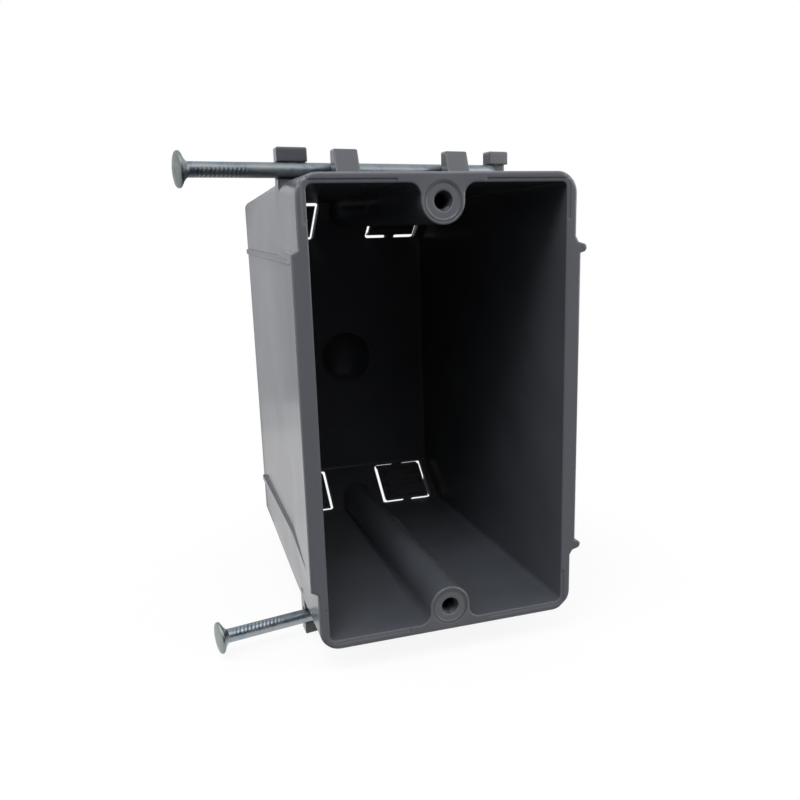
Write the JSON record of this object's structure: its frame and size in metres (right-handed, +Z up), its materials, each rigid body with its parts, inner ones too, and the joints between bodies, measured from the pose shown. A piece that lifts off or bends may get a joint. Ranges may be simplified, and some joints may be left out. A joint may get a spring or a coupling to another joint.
{
  "type": "new work outlet box",
  "caption": "Deep one-gang moulded plastic outlet box with an open flanged front, screw bosses, cable knock-outs and captive slanted nails for fastening it to a stud.",
  "frame": {"origin": "midway between the two device screw holes, on the rim's front plane", "axes": "+X to the stud side, +Y from the open front to the rear, +Z up along the line of the two screw holes"},
  "size_m": [0.0787, 0.086, 0.106],
  "materials": {
    "moulded_pvc": "fine moulded satin",
    "zinc_plated_steel": "bright zinc plating"
  },
  "bodies": {
    "box": {"box_body": "moulded_pvc"},
    "upper_nail": {"top_nail": "zinc_plated_steel"},
    "lower_nail": {"bottom_nail": "zinc_plated_steel"}
  },
  "joints": [
    {"name": "top_nail_slide", "type": "slide", "parent": "box", "child": "upper_nail", "axis": [0.9816, 0.1908, 0], "range_m": [0, 0.0177]},
    {"name": "bottom_nail_slide", "type": "slide", "parent": "box", "child": "lower_nail", "axis": [0.9816, 0.1908, 0], "range_m": [0, 0.0177]}
  ]
}
